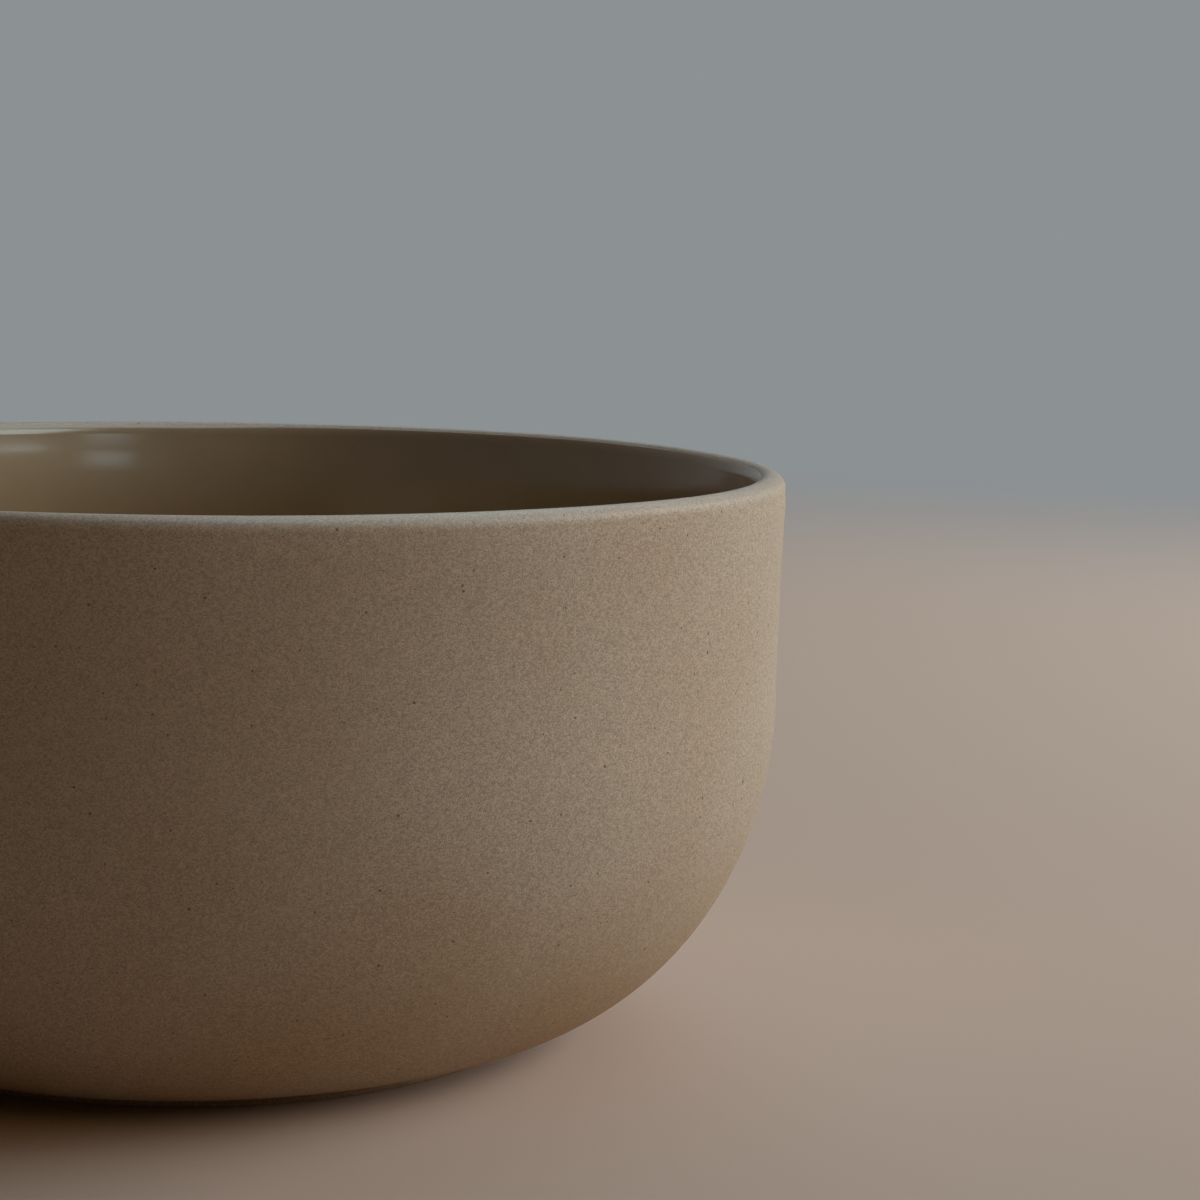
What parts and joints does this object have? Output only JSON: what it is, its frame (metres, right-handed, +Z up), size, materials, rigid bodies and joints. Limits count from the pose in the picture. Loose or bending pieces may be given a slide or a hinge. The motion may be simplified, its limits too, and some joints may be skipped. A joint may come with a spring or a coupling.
{
  "type": "cappuccino cup",
  "caption": "Low handleless stoneware cup with upright walls rounding into a turned foot, bare sandy clay outside and glossy glaze inside, for drinking cappuccino.",
  "frame": {"origin": "where the cup's axis meets the table, at the level of the foot ring's flat face", "axes": "+Z up along the cup's axis, out of its mouth; X and Y are free, because the cup is turned"},
  "size_m": [0.1, 0.1, 0.049],
  "materials": {
    "bare_stoneware": "matte",
    "liner_glaze": "gloss"
  },
  "bodies": {
    "root": {"stoneware_body": "bare_stoneware", "liner_glaze": "liner_glaze"}
  },
  "joints": []
}
